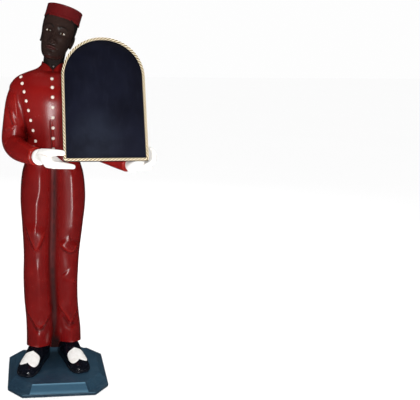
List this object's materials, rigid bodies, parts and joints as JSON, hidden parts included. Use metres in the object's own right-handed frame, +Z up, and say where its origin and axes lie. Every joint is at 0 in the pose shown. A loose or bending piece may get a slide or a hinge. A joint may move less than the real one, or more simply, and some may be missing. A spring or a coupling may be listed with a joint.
{
  "type": "blackboard sign figure",
  "caption": "Life-size painted bellhop figure on an octagonal base, holding out an arched blackboard edged with twisted gold rope.",
  "frame": {"origin": "middle of the base's underside, on the floor", "axes": "+Z up, the figure looks along -Y, and +X is to a viewer's right"},
  "size_m": [0.6643, 0.5388, 1.8285],
  "materials": {
    "base_enamel": "dark slate blue enamel",
    "figure_enamel": "hand-painted gloss enamel on cast resin, mostly deep red",
    "blackboard_paint": "blackboard paint with faint chalk haze",
    "gold_rope": "cast rope trim painted old gold"
  },
  "bodies": {
    "root": {"base": "base_enamel", "figure": "figure_enamel", "blackboard": "blackboard_paint", "rope_trim": "gold_rope"}
  },
  "joints": []
}
